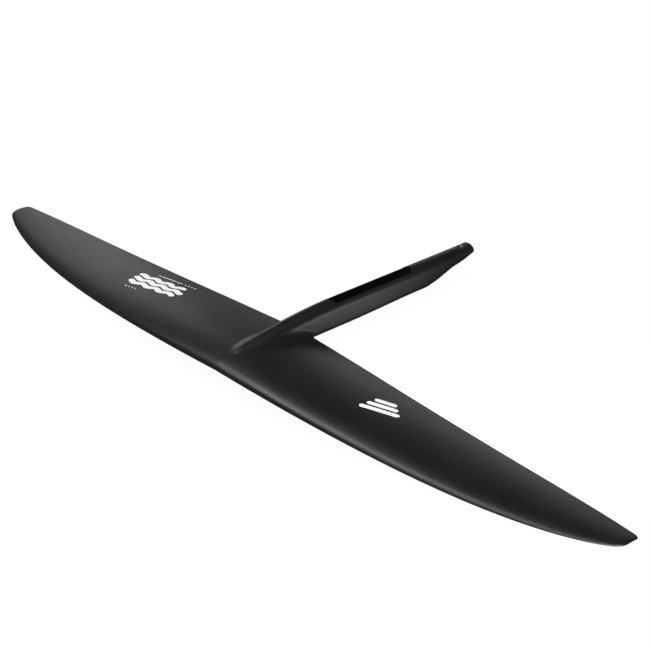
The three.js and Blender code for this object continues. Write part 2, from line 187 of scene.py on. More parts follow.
def leading_edge(x):
    eta = np.minimum(1, np.abs(x) / HALF_SPAN)
    swept = (1 - eta ** PLANFORM_POWERS[0]) ** PLANFORM_POWERS[1]
    edge = ROOT_TRAILING_Y - TIP_LEADING - (ROOT_CHORD - TIP_LEADING) * swept
    return edge + corner_pull(eta, TIP_ROUND_LEADING)


def trailing_edge(x):
    eta = np.minimum(1, np.abs(x) / HALF_SPAN)
    a, b, c = TRAILING_SWEEP
    return ROOT_TRAILING_Y + a * eta + b * eta**2 + c * eta**6 - corner_pull(eta, TIP_ROUND_TRAILING)


def droop_z(x):
    eta = np.minimum(1, np.abs(x) / HALF_SPAN)
    return REFERENCE_Z - DROOP[0] * eta - DROOP[1] * eta**2 - DROOP[2] * eta**4


def camber_line(s):
    front = CAMBER / CAMBER_PLACE**2 * (2 * CAMBER_PLACE * s - s * s)
    rear = CAMBER / (1 - CAMBER_PLACE) ** 2 * (1 - 2 * CAMBER_PLACE + 2 * CAMBER_PLACE * s - s * s)
    return np.where(s < CAMBER_PLACE, front, rear)


def half_thickness(s):
    """Half the thickness of the classic four digit section, for a thickness ratio of one."""
    return 5 * (0.2969 * np.sqrt(s) - 0.126 * s - 0.3516 * s**2 + 0.2843 * s**3 - 0.1036 * s**4)


def wing_middle_z(x, y):
    front = leading_edge(x)
    chord = trailing_edge(x) - front
    s = np.clip((y - front) / chord, 0, 1)
    return droop_z(x) + chord * camber_line(s)


def wing_half(x, y):
    """Half the thickness of the wing at x and y, which fades to nothing over the tip's rounded edge."""
    eta = np.minimum(1, np.abs(x) / HALF_SPAN)
    front = leading_edge(x)
    chord = trailing_edge(x) - front
    s = np.clip((y - front) / chord, 0, 1)
    ratio = THICKNESS_RATIO[0] + (THICKNESS_RATIO[1] - THICKNESS_RATIO[0]) * eta
    past = np.clip((np.abs(x) - HALF_SPAN + TIP_EDGE) / TIP_EDGE, 0, 1)
    return (chord * ratio * half_thickness(s) + TRAILING_HALF * s) * np.sqrt(1 - past * past)


def wing_z(x, y, side):
    return wing_middle_z(x, y) + side * wing_half(x, y)


def nose_dip(y):
    return square_from(NOSE_DIP_START - y, NOSE_DIP_LENGTH, NOSE_DIP_DEPTH)


def crest_z(y):
    fall = CREST_FALL * np.maximum(0, y - CREST_RISE_END)
    rise = square_from(CREST_RISE_END - y, CREST_RISE_LENGTH, CREST_RISE_HEIGHT)
    return CREST_Z - fall - rise - nose_dip(y)


def belly_z(y):
    return (
        BELLY_Z
        + square_from(BELLY_RISE_END - y, BELLY_RISE_LENGTH, BELLY_RISE_HEIGHT)
        + nose_dip(y)
        + BELLY_REAR_HEIGHT * smoothstep(y, BELLY_REAR_START, BELLY_REAR_START + BELLY_REAR_LENGTH)
        + RAMP_SLOPES[0] * np.maximum(0, np.minimum(y, SEAT_RAMP_Y) - RAMP_Y)
        + RAMP_SLOPES[1] * np.maximum(0, y - SEAT_RAMP_Y)
    )


def fuselage_half_width(y):
    return HALF_WIDTH + (TAIL_HALF_WIDTH - HALF_WIDTH) * smoothstep(y, TAIL_TAPER_Y, TAIL_Y)


def parting_z(y):
    return REFERENCE_Z + PARTING_SLOPE * max(0.0, y - RAMP_Y)


# ---------------------------------------------------------------------------------------------
# Openings in the skins: a slot with round ends, or a round hole where the straight stretch is nothing


class Opening:
    """An opening in a skin on the fuselage's middle line, its sizes in plan in millimetres."""

    def __init__(self, y, radius, straight, lip):
        self.y, self.radius, self.straight, self.lip = y, radius, straight, lip

    def half_width(self, y):
        """Half the opening's width at y, its lip included."""
        reach = self.radius + self.lip
        past = max(0.0, abs(y - self.y) - self.straight)
        return math.sqrt(max(0.0, reach * reach - past * past))

    def tips(self):
        """Where the opening, its lip included, starts and ends."""
        reach = self.straight + self.radius + self.lip
        return self.y - reach, self.y + reach

    def stations(self):
        """Places along y where its round ends need rows."""
        angles = np.linspace(0, math.pi / 2, OPENING_ROWS + 1)[:-1]
        ends = self.straight + (self.radius + self.lip) * np.sin(angles)
        return [*(self.y - ends), *(self.y + ends)]

    def outwards(self, point):
        """From the nearest point of the opening's middle line to a point, in plan."""
        middle = min(max(point.y, self.y - self.straight), self.y + self.straight)
        return Vector((point.x, point.y - middle))

    def holds(self, point):
        """True for a point on the rim."""
        return abs(self.outwards(point).length - self.radius - self.lip) < ON_RIM

    def towards_wall(self, point):
        """The plan point of the opening's wall nearest to a rim point."""
        away = self.outwards(point)
        return point.to_2d() - away + away.normalized() * self.radius


OPENINGS = {
    UPPER: [
        Opening(0.0, POCKET_WIDTH / 2, (POCKET_LENGTH - POCKET_WIDTH) / 2, POCKET_LIP),
        Opening(TAIL_SCREW_Y, TAIL_TOP_HOLE, 0.0, HOLE_LIP),
    ],
    LOWER: [Opening(y, FLANGE_HOLE, 0.0, HOLE_LIP) for y in MAST_SCREW_Y]
    + [Opening(TAIL_SCREW_Y, TAIL_BOTTOM_HOLE, 0.0, HOLE_LIP)],
}


def opening_at(point, side):
    """The opening on whose rim a point of a skin lies, if there is one."""
    for opening in OPENINGS[side]:
        if opening.holds(point):
            return opening
    return None


# ---------------------------------------------------------------------------------------------
# Sections of the fuselage and its blend into the wing, as rows of points from the middle outwards


def along(points):
    """How far it is to each point of a path from its first one."""
    steps = np.linalg.norm(np.diff(points, axis=0), axis=1)
    return np.concatenate([[0], np.cumsum(steps)])


def at_lengths(points, lengths):
    """The points of a path at certain lengths along it."""
    travelled = along(points)
    return np.stack([np.interp(lengths, travelled, column) for column in points.T], axis=1)


def tube_profile(y):
    """Half the fuselage's section at y, from the top of the crown to the middle of the belly."""
    top, bottom, wide = float(crest_z(y)), float(belly_z(y)), float(fuselage_half_width(y))
    crown = min(wide, CROWN_SHARE * (top - bottom))
    corner = min(BELLY_CORNER, top - bottom - crown - LEAST_SIDE)
    angles = np.linspace(0, math.pi / 2, ARC_POINTS)
    crown_arc = np.stack([wide * np.sin(angles), top - crown + crown * np.cos(angles)], axis=1)
    corner_arc = np.stack(
        [wide - corner + corner * np.cos(angles), bottom + corner - corner * np.sin(angles)], axis=1
    )
    points = np.concatenate([crown_arc, corner_arc, [[0.0, bottom]]])
    ending = y - (TAIL_Y - TAIL_ROUND)
    if ending > 0:
        inwards = TAIL_ROUND * (1 - math.sqrt(max(0.0, 1 - (ending / TAIL_ROUND) ** 2)))
        middle = parting_z(y)
        above = points[:, 1] > middle
        height = np.where(above, top - middle, middle - bottom)
        points[:, 0] *= 1 - inwards / wide
        points[:, 1] = middle + (points[:, 1] - middle) * (1 - TAIL_ROUND_HEIGHT * inwards / height)
    return points


def half_of(values, side):
    """The values that belong to the crown, or to the belly and its corner, from the middle outwards."""
    return values[:ARC_POINTS] if side == UPPER else values[ARC_POINTS:][::-1]


def tube_row(y, side):
    """Points of one side of the fuselage behind the wing, from its middle or an opening to the parting."""
    profile = tube_profile(y)
    travelled = along(profile)
    split = float(np.interp(-parting_z(y), -profile[:, 1], travelled))
    start = max(opening.half_width(y) for opening in OPENINGS[side])
    first = float(np.interp(start, half_of(profile[:, 0], side), half_of(travelled, side)))
    points = at_lengths(profile, np.linspace(first, split, TOP_COLUMNS + 1))
    return np.stack([points[:, 0], np.full(len(points), y), points[:, 1]], axis=1)


def corner_edge(x):
    """The trailing edge in plan, with its round corner at the fuselage."""
    out = np.clip((x - HALF_WIDTH) / FILLET_OUT, 0, 1)
    return trailing_edge(x) + FILLET_AFT * (1 - np.sqrt(1 - (1 - out) ** 2))


def round_corner(share, side):
    """The points of that corner for shares from 0, on the fuselage, to 1. Heights count outwards."""
    x = HALF_WIDTH + FILLET_OUT * (1 - np.cos(share * math.pi / 2))
    y = trailing_edge(x) + FILLET_AFT * (1 - np.sin(share * math.pi / 2))
    return np.stack([x, y, side * droop_z(x) + TRAILING_HALF * share], axis=1)


def corner_share(t):
    """How much of a root row's fillet has turned into that corner, 1 at the trailing edge."""
    fade_from = 1 - FILLET_FADE / ROOT_CHORD
    return max(0.0, (t - fade_from) / (1 - fade_from)) ** FADE_POWER


def softened_rise(rise):
    """The fuselage's rise over the wing, which starts softly instead of at a crease."""
    if rise < RIDGE_SOFTNESS:
        return max(0.0, rise + RIDGE_SOFTNESS) ** 2 / (4 * RIDGE_SOFTNESS)
    return rise


def fillet_foot(height, flat, centre, reach, radius):
    """Where a fillet meets the wing: its x, the wing's height there and the angle through which it turns."""
    foot = HALF_WIDTH
    for _ in range(FOOT_PASSES):
        ground = height(foot)
        lift = min(ground + radius - centre, reach)
        angle = math.acos(max(0.0, lift) / reach)
        foot = flat + reach * math.sin(angle)
    return foot, ground, angle


def wall_outline(top, flat, round_width, side):
    """The fuselage's own outline from its middle down to the parting line, as x and height."""
    angles = np.linspace(0, math.pi / 2, ARC_POINTS)
    centre = top - round_width
    rounding = np.stack([flat + round_width * np.sin(angles), centre + round_width * np.cos(angles)], axis=1)
    return np.concatenate([[[0.0, top]], rounding, [[HALF_WIDTH, min(centre, side * REFERENCE_Z)]]])


def root_row(t, side):
    """Points across the wing's root at the chord fraction t: crown, wall, fillet and wing out to ZONE_X.

    Heights count outwards, up on the upper side and down on the lower one, until the row is finished.
    """

    def row_y(x):
        return leading_edge(x) + t * (trailing_edge(x) - leading_edge(x))

    def height(x):
        return side * float(wing_z(x, row_y(x), side))

    wrap = corner_share(t)
    wall_y = float(row_y(0.0)) + FILLET_AFT * wrap
    rise = softened_rise(side * float(crest_z(wall_y) if side == UPPER else belly_z(wall_y)) - height(0.0))
    top = height(0.0) + rise
    round_width = HALF_WIDTH if side == UPPER else BELLY_CORNER
    flat = HALF_WIDTH - round_width
    centre = top - round_width
    radius = FILLET[side] * (1 + FILLET_EASE * math.exp(-rise / FILLET_EASE_RISE))
    foot, ground, angle = fillet_foot(height, flat, centre, round_width + radius, radius)

    # the fuselage's outline, as far as the fillet or, at the trailing edge, the parting line
    outline = wall_outline(top, flat, round_width, side)
    touching = flat + round_width * angle + max(0.0, centre - ground - radius)
    leave = touching + (along(outline)[-1] - touching) * wrap
    body = at_lengths(outline, np.linspace(0, leave, BODY_POINTS))
    body = np.stack([body[:, 0], np.full(BODY_POINTS, wall_y), body[:, 1]], axis=1)

    # the fillet, which turns into a round corner in plan at the trailing edge
    share = np.linspace(0, 1, FILLET_POINTS)
    turn = angle * (1 - share)
    fillet_y = wall_y + (row_y(foot) - wall_y) * share
    fillet = np.stack([foot - radius * np.sin(turn), fillet_y, ground + radius * (1 - np.cos(turn))], axis=1)
    fillet = fillet + (round_corner(share, side) - fillet) * wrap
    fillet += (body[-1] - fillet[0]) * ((1 - share) ** 2)[:, None]
    landing = side * wing_z(fillet[-1, 0], fillet[-1, 1], side)
    fillet[:, 2] += (landing - fillet[-1, 2]) * share**2

    # the wing from the fillet to the zone's edge
    xs = np.linspace(fillet[-1, 0], ZONE_X, WING_POINTS)
    left = (1 - (xs - xs[0]) / (ZONE_X - xs[0])) ** 2
    ys = row_y(xs) + (fillet[-1, 1] - row_y(xs[0])) * left
    wing = np.stack([xs, ys, side * wing_z(xs, ys, side)], axis=1)

    # the columns, which keep to the fuselage's outline once its ridge has grown
    points = np.concatenate([body, fillet[1:], wing[1:]])
    travelled = along(points)
    ridge = float(smoothstep(wall_y, RIDGE_START, RIDGE_END))
    split = FLAT_SPLIT * travelled[-1] * (1 - ridge) + travelled[len(body) - 1] * ridge
    top_lengths = np.linspace(0, split, TOP_COLUMNS + 1)
    root_lengths = np.linspace(split, travelled[-1], ROOT_COLUMNS + 1)
    row = at_lengths(points, np.concatenate([top_lengths, root_lengths[1:]]))

    # the rows stay in order where the round corner squeezes them together
    latest = corner_edge(row[:, 0]) - CORNER_SPACING * (1 - t) * ROOT_CHORD
    row[:, 1] = np.where(row[:, 0] > HALF_WIDTH + ROUNDING, np.minimum(row[:, 1], latest), row[:, 1])
    row[:, 2] *= side
    return row


def wing_row(t, side):
    """Points of the plain wing at the chord fraction t, from ZONE_X to the tip."""
    xs = ZONE_X + (HALF_SPAN - ZONE_X) * np.sin(np.linspace(0, math.pi / 2, SPAN_COLUMNS + 1)[1:])
    ys = leading_edge(xs) + t * (trailing_edge(xs) - leading_edge(xs))
    return np.stack([xs, ys, wing_z(xs, ys, side)], axis=1)


def tube_stations():
    """Places along y of the fuselage's rows, closer together round the openings and at the tail's end."""
    openings = [opening for several in OPENINGS.values() for opening in several]
    rows = [tip for opening in openings for tip in opening.tips()]
    start = ROOT_TRAILING_Y + FILLET_AFT
    plain = np.linspace(start, TAIL_Y, round((TAIL_Y - start) / TUBE_STEP) + 1)[1:]
    rounding = TAIL_Y - TAIL_ROUND + TAIL_ROUND * np.sin(np.linspace(0, math.pi / 2, TAIL_ROWS))
    for candidates, apart in (
        ([TAIL_Y], 0),
        (rounding, TAIL_GAP),
        ([y for opening in openings for y in opening.stations()], OPENING_GAP),
        (plain, TUBE_GAP),
    ):
        for y in candidates:
            if min(abs(y - other) for other in rows) > apart:
                rows.append(float(y))
    return sorted(rows)


def skin_sheet(side):
    """The outer surface of one skin's +X half, as rows across the half wing and rows of the fuselage."""
    fractions = (1 - np.cos(np.linspace(0, math.pi, CHORD_ROWS + 1))) / 2
    wing_rows = [np.concatenate([root_row(t, side), wing_row(t, side)]) for t in fractions]
    tube_rows = [tube_row(y, side) for y in tube_stations()]
    end = tube_rows[-1]
    middle = np.array([0.0, TAIL_Y, parting_z(TAIL_Y)])
    cap_rows = [middle + (end - middle) * share for share in CAP_SHARES]
    return wing_rows, tube_rows + cap_rows


# ---------------------------------------------------------------------------------------------
# Meshes and pieces


def add_object(name, data):
    """A new object of the scene that shows a mesh, a light or a camera."""
    thing = bpy.data.objects.new(name, data)
    bpy.context.scene.collection.objects.link(thing)
    return thing


def mesh_object(name, bm, material):
    mesh = bpy.data.meshes.new(name)
    bm.to_mesh(mesh)
    bm.free()
    mesh.materials.append(material)
    return add_object(name, mesh)


def add_piece(name, bm, material, replaced=(), crease=35):
    """A piece of the root body from a bmesh in millimetres, smooth but for edges past the crease angle."""
    bmesh.ops.scale(bm, vec=(MM, MM, MM), verts=bm.verts)
    bmesh.ops.recalc_face_normals(bm, faces=bm.faces)
    piece = mesh_object(name, bm, material)
    piece.data.shade_smooth()
    piece.data.set_sharp_from_angle(angle=math.radians(crease))
    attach(piece, "root")
    if replaced:
        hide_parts(*replaced)


def grid_faces(bm, rows, flip):
    """Faces between rows of vertices, as far as both rows go."""
    for row, after in zip(rows, rows[1:]):
        for j in range(min(len(row), len(after)) - 1):
            corners = [row[j], row[j + 1], after[j + 1], after[j]]
            bm.faces.new(corners[::-1] if flip else corners)


def crown_level(x, y, side):
    """Height of the fuselage's outer surface over or under a plan point near its middle."""
    half = half_of(tube_profile(y), side)
    return float(np.interp(abs(x), half[:, 0], half[:, 1]))


def crown_tilt(x, y, side):
    """Cosine of the slope of that surface across the fuselage."""
    outer = crown_level(abs(x) + SLOPE_STEP, y, side)
    inner = crown_level(max(0.0, abs(x) - SLOPE_STEP), y, side)
    return 1 / math.hypot(1, (outer - inner) / (2 * SLOPE_STEP))


def bend(start, corner, end, t):
    """A point, for t from 0 to 1, of the curve from start to end that bends towards the corner."""
    return start * (1 - t) ** 2 + corner * 2 * t * (1 - t) + end * t * t


def lip_points(point, opening, side):
    """Points from an opening's rim over its rounded lip and down its wall to the skin's inner surface."""
    wall = opening.towards_wall(point)
    level = crown_level(wall.x, wall.y, side)
    deep = level - side * FUSELAGE_SKIN / crown_tilt(wall.x, wall.y, side)
    corner = Vector((wall.x, wall.y, level))
    under = Vector((wall.x, wall.y, level - side * opening.lip))
    lip = [bend(point, corner, under, k / LIP_STEPS) for k in range(1, LIP_STEPS + 1)]
    return [*lip, Vector((wall.x, wall.y, deep))]


def inner_point(point, normal, side):
    """The point of a skin's inner surface under a point of its outer one."""
    x, y, z = point
    thick = FUSELAGE_SKIN + (SKIN - FUSELAGE_SKIN) * float(smoothstep(abs(x), *SKIN_BLEND))
    thick *= 1 - TAIL_THINNING * float(smoothstep(y, TAIL_Y - TAIL_THIN_LENGTH, TAIL_Y - TAIL_ROUND))
    inwards = -normal
    if abs(x) > HALF_WIDTH + TOUCHING:
        # where the wing is thin the skin is laid off straight up or down, and ends short of the wing's middle
        room = abs(z - float(wing_middle_z(x, y)))
        share = room / thick
        straight = 1 - min(1.0, 0.5 * share * min(1.0, share))
        inwards = inwards.lerp(Vector((0, 0, -side)), straight).normalized()
        thick = min(thick, NEAREST_MIDDLE * room / max(abs(inwards.z), LEAST_UPRIGHT))
    return point + inwards * thick


def outer_surface(bm, side):
    """Adds both halves of one skin's outer surface."""
    wing_rows, tube_rows = skin_sheet(side)
    for sign in (1, -1):

        def grow(row):
            return [bm.verts.new((sign * x, y, z)) for x, y, z in row]

        rows = [grow(row) for row in wing_rows]
        grid_faces(bm, rows, sign * side < 0)
        joined = [rows[-1][: TOP_COLUMNS + 1], *[grow(row) for row in tube_rows]]
        grid_faces(bm, joined, sign * side < 0)
    bmesh.ops.remove_doubles(bm, verts=bm.verts, dist=TOUCHING)
    bm.normal_update()


def skin(name, side, material, replaced):
    """One closed skin: the outer surface, its inner surface, their rims and the lips of its openings."""
    bm = bmesh.new()
    outer_surface(bm, side)
    outer = list(bm.verts)
    faces = list(bm.faces)
    border = [edge for edge in bm.edges if edge.is_boundary]
    rim = {vertex: opening_at(vertex.co, side) for edge in border for vertex in edge.verts}
    lips = {}
    inner = {}
    for vertex in outer:
        opening = rim.get(vertex)
        if opening:
            *lip, place = lip_points(vertex.co, opening, side)
            lips[vertex] = [bm.verts.new(point) for point in lip]
        else:
            place = inner_point(vertex.co, vertex.normal, side)
        inner[vertex] = bm.verts.new(place)
    for face in faces:
        bm.faces.new([inner[vertex] for vertex in reversed(face.verts)])
    for edge in border:
        a, b = edge.verts
        if edge.link_loops[0].vert is not a:
            a, b = b, a
        if rim[a] and rim[a] is rim[b]:
            chain_a, chain_b = [a, *lips[a], inner[a]], [b, *lips[b], inner[b]]
        else:
            chain_a, chain_b = [a, inner[a]], [b, inner[b]]
        for k in range(len(chain_a) - 1):
            bm.faces.new([chain_b[k], chain_a[k], chain_a[k + 1], chain_b[k + 1]])
    bmesh.ops.remove_doubles(bm, verts=bm.verts, dist=RIM_TOUCHING)
    loose = [vertex for vertex in bm.verts if not vertex.link_faces]
    bmesh.ops.delete(bm, geom=loose, context="VERTS")
    add_piece(name, bm, material, replaced)


def slot_loop(bm, half_width, half_length, height, segments=24, straight=14):
    """Vertices round a slot with round ends; height is a number or a function of x and y."""
    reach = half_length - half_width
    turn = np.linspace(0, math.pi, segments + 1)
    side = np.linspace(-reach, reach, straight + 1)[1:-1]
    places = (
        [(half_width * math.cos(a), reach + half_width * math.sin(a)) for a in turn]
        + [(-half_width, -y) for y in side]
        + [(-half_width * math.cos(a), -reach - half_width * math.sin(a)) for a in turn]
        + [(half_width, y) for y in side]
    )
    return [bm.verts.new((x, y, height(x, y) if callable(height) else height)) for x, y in places]


def round_loop(bm, y, radius, height, segments=48):
    """Vertices round a circle on the middle line."""
    turn = [2 * math.pi * k / segments for k in range(segments)]
    return [bm.verts.new((radius * math.cos(a), y + radius * math.sin(a), height)) for a in turn]


def bridge(bm, loop, after):
    """Faces between two closed loops of as many vertices."""
    count = len(loop)
    for k in range(count):
        bm.faces.new([loop[k], loop[(k + 1) % count], after[(k + 1) % count], after[k]])


def fill(bm, loops):
    """A flat face inside the first loop and outside the others."""
    edges = []
    for loop in loops:
        for a, b in zip(loop, loop[1:] + loop[:1]):
            edges.append(bm.edges.get((a, b)) or bm.edges.new((a, b)))
    bmesh.ops.triangle_fill(bm, use_beauty=True, edges=edges)


def pocket_lining(material):
    """The bare laminate tray that the mast foot sits in: walls, a filleted floor and two screw holes."""

    def under_skin(x, y):
        return crown_level(x, y, UPPER) - (FUSELAGE_SKIN + SEAM) / crown_tilt(x, y, UPPER)

    bm = bmesh.new()
    half_width, half_length = POCKET_WIDTH / 2, POCKET_LENGTH / 2
    outer = [
        slot_loop(bm, half_width + LINER_WALL, half_length + LINER_WALL, height)
        for height in (-LINER_FLOOR, under_skin)
    ]
    walls = [slot_loop(bm, half_width, half_length, height) for height in (under_skin, FLOOR_FILLET)]
    corner = []
    for k in range(1, FLOOR_STEPS + 1):
        angle = math.pi / 2 * k / FLOOR_STEPS
        inset = FLOOR_FILLET * (1 - math.cos(angle))
        height = FLOOR_FILLET * (1 - math.sin(angle))
        corner.append(slot_loop(bm, half_width - inset, half_length - inset, height))
    loops = outer + walls + corner
    for loop, after in zip(loops, loops[1:]):
        bridge(bm, loop, after)
    floor_holes, under_holes = [], []
    halfway = LIP_BEND * HOLE_LIP
    bore = ((HOLE_LIP, 0.0), (halfway, -halfway), (0.0, -HOLE_LIP), (0.0, -LINER_FLOOR))
    for y in MAST_SCREW_Y:
        rings = [round_loop(bm, y, MAST_BORE + widening, height) for widening, height in bore]
        for ring, after in zip(rings, rings[1:]):
            bridge(bm, ring, after)
        floor_holes.append(rings[0])
        under_holes.append(rings[-1])
    fill(bm, [corner[-1], *floor_holes])
    fill(bm, [outer[0], *under_holes])
    add_piece("mast_pocket_lining", bm, material, ["mast_pocket_liner"])


def softened(profile, radius, steps=4, share=0.45):
    """A closed profile with each corner turned into a short curve that takes up to a share of its sides."""
    points = [Vector(point) for point in profile]
    curve = []
    for k, corner in enumerate(points):
        before, after = points[k - 1], points[(k + 1) % len(points)]
        reach = min(radius, share * (before - corner).length, share * (after - corner).length)
        start = corner + (before - corner).normalized() * reach
        end = corner + (after - corner).normalized() * reach
        curve += [bend(start, corner, end, step / steps) for step in range(steps + 1)]
    return curve


def turned_ring(name, node, y, profile, material):
    """A turned part about the upright axis at y, from a closed profile of radius and height."""
    bm = bmesh.new()
    loops = [round_loop(bm, y, point.x, point.y, segments=96) for point in softened(profile, EDGE_BREAK)]
    for loop, after in zip(loops, loops[1:] + loops[:1]):
        bridge(bm, loop, after)
    add_piece(name, bm, material, [node], crease=50)


def ferrules():
    """The flanged rings of the two mast screws and the countersunk one of the tail's screw."""
    for place, y in zip(("front", "rear"), MAST_SCREW_Y):
        node = f"{place}_mast_screw_ferrule"
        bottom, top = (corner.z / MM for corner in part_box(node))
        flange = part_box(node)[1].x / MM
        body, rim = flange - FLANGE_RIM, bottom + FLANGE_HEIGHT
        profile = [
            (MAST_BORE, bottom + MAST_COUNTERSINK),
            (MAST_BORE + MAST_COUNTERSINK, bottom),
            (flange, bottom),
            (flange, rim),
            (body, rim),
            (body, top),
            (MAST_BORE, top),
        ]
        turned_ring(f"{place}_mast_screw_seat", node, y, profile, turned_steel(y, BRIGHT_STEEL))
    node = "tail_screw_ferrule"
    bottom, top = (corner.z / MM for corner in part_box(node))
    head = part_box(node)[1].x / MM
    body, under = head - FLANGE_RIM, top - TAIL_HEAD_DEPTH
    profile = [
        (TAIL_BORE, bottom),
        (body, bottom),
        (body, under),
        (head, under + HEAD_SLANT),
        (head, top),
        (head - HEAD_RIM, top),
        (TAIL_BORE, under + HEAD_SEAT),
    ]
    # the tail's ring takes the darkened steel, painted shade for its hole
    turned_ring("tail_screw_seat", node, TAIL_SCREW_Y, profile, turned_steel(TAIL_SCREW_Y, HOLE_SHADE_STEEL))


# ---------------------------------------------------------------------------------------------
# White printed marks on the wing's top: plain bars, waves and dots


def ribbon(bm, path, half_width):
    """A thin closed print along a path of plan points, on the wing's top, with round ends."""
    path = [Vector(point) for point in path]
    xs, ys = [point.x for point in path], [point.y for point in path]
    lengths = [0.0]
    for a, b in zip(path, path[1:]):
        lengths.append(lengths[-1] + (b - a).length)
    total = lengths[-1]
    reach = HEADING_REACH * total

    def at(length):
        return Vector((np.interp(length, lengths, xs), np.interp(length, lengths, ys)))

    steps = max(FEWEST_STEPS, round(total / PRINT_STEP))
    rings = []
    for k in range(steps + 1):
        length = (1 - math.cos(math.pi * k / steps)) / 2 * total
        near = min(max(length, reach), (1 - HEADING_REACH) * total)
        across = (at(near + reach) - at(near - reach)).normalized().orthogonal()
        end = min(length, total - length)
        width = half_width
        if end < half_width:
            width = max(NARROWEST, math.sqrt(max(0.0, half_width**2 - (half_width - end) ** 2)))
        spots = [at(length) + across * width * (2 * j / PRINT_COLUMNS - 1) for j in range(PRINT_COLUMNS + 1)]
        levels = [float(wing_z(spot.x, spot.y, UPPER)) for spot in spots]
        top = [(spot.x, spot.y, level + PRINT) for spot, level in zip(spots, levels)]
        under = [(spot.x, spot.y, level - PRINT) for spot, level in zip(spots, levels)]
        rings.append([bm.verts.new(point) for point in top + under[::-1]])
    for ring, after in zip(rings, rings[1:]):
        bridge(bm, ring, after)
    for ring in (rings[0], rings[-1]):
        for j in range(PRINT_COLUMNS):
            bm.faces.new([ring[j], ring[j + 1], ring[-2 - j], ring[-1 - j]])


def bars_mark(material):
    """Three slanted bars, each shorter than the one before it, on the port half."""
    bm = bmesh.new()
    for k, length in enumerate(BAR_LENGTHS):
        middle = Vector(BARS_CENTRE) + Vector(BARS_ACROSS) * BAR_PITCH * (k - 1)
        half = Vector(BARS_ALONG).normalized() * length / 2
        ribbon(bm, [middle - half, middle, middle + half], BAR_HALF)
    add_piece("port_printed_bars", bm, material)


def waves_mark(material):
    """A band of waves with a thin line and a few dots beside it, on the starboard half."""
    bm = bmesh.new()
    centre, along_band, across_band = Vector(WAVES_CENTRE), Vector(WAVES_ALONG), Vector(WAVES_ACROSS)
    for k, (start, end) in enumerate(WAVE_SPANS):
        base = centre + across_band * WAVE_PITCH * (k - (len(WAVE_SPANS) - 1) / 2)
        path = []
        for length in np.linspace(start, end, WAVE_POINTS):
            swing = WAVE_HEIGHT * math.sin(2 * math.pi * length / WAVE_LENGTH)
            path.append(base + along_band * length + across_band * swing)
        ribbon(bm, path, WAVE_HALF)
    line = centre + across_band * LINE_OFFSET
    ribbon(bm, [line + along_band * LINE_SPAN[0], line + along_band * LINE_SPAN[1]], LINE_HALF)
    for k in range(DOTS):
        for offset, first in ((LINE_OFFSET, LINE_SPAN[1] + DOT_PITCH), (-LINE_OFFSET, DOTS_START)):
            spot = centre + across_band * offset + along_band * (first + DOT_PITCH * k)
            ribbon(bm, [spot - along_band * DOT_HALF, spot + along_band * DOT_HALF], DOT_HALF)
    add_piece("starboard_printed_waves", bm, material)


# ---------------------------------------------------------------------------------------------
# Materials. Patterns are in object space, which is the part's own frame, in metres


FACTOR, FIRST_COLOUR, SECOND_COLOUR, MIXED_COLOUR = 0, 6, 7, 2  # sockets of a mix node that blends colours


class Nodes:
    """One material's node tree, with short calls for adding to it."""

    def __init__(self, name):
        self.material = bpy.data.materials.new(name)
        self.material.use_nodes = True
        self.tree = self.material.node_tree
        self.shader = self.tree.nodes["Principled BSDF"]
        coordinates = self.tree.nodes.new("ShaderNodeTexCoord")
        self.place, self.facing = coordinates.outputs["Object"], coordinates.outputs["Normal"]

    def add(self, kind, settings=(), **inputs):
        node = self.tree.nodes.new(kind)
        for name, value in dict(settings).items():
            setattr(node, name, value)
        for name, value in inputs.items():
            self.feed(node.inputs[name.replace("_", " ")], value)
        return node

    def feed(self, socket, value):
        if isinstance(value, bpy.types.NodeSocket):
            self.tree.links.new(value, socket)
        else:
            socket.default_value = value

    def math(self, operation, *values):
        node = self.tree.nodes.new("ShaderNodeMath")
        node.operation = operation
        for socket, value in zip(node.inputs, values):
            self.feed(socket, value)
        return node.outputs[0]

    def plus(self, a, b):
        return self.math("ADD", a, b)

    def minus(self, a, b):
        return self.math("SUBTRACT", a, b)

    def times(self, a, b):
        return self.math("MULTIPLY", a, b)

    def noise(self, scale, detail=3.0, roughness=0.55):
        node = self.add(
            "ShaderNodeTexNoise", Vector=self.place, Scale=scale, Detail=detail, Roughness=roughness
        )
        return node.outputs["Fac"]

    def spread(self, value, low, high, from_low=0.0, from_high=1.0):
        """Maps the values between from_low and from_high to those between low and high."""
        ends = {"From_Min": from_low, "From_Max": from_high, "To_Min": low, "To_Max": high}
        return self.add("ShaderNodeMapRange", Value=value, **ends).outputs["Result"]

    def blend(self, factor, first, second):
        node = self.add("ShaderNodeMix", {"data_type": "RGBA"})
        for socket, value in ((FACTOR, factor), (FIRST_COLOUR, first), (SECOND_COLOUR, second)):
            self.feed(node.inputs[socket], value)
        return node.outputs[MIXED_COLOUR]

    def bump(self, height, strength, distance, normal=None):
        node = self.add("ShaderNodeBump", Height=height, Strength=strength, Distance=distance)
        if normal:
            self.tree.links.new(normal, node.inputs["Normal"])
        return node.outputs["Normal"]

    def finish(self, **inputs):
        """Sets or links the shader's own inputs and gives back the material."""
        for name, value in inputs.items():
            self.feed(self.shader.inputs[name.replace("_", " ")], value)
        return self.material


def grey(value, tint=0.0):
    """A linear grey, slightly blue where the tint is positive."""
    return (value * (1 - tint), value, value * (1 + tint), 1.0)


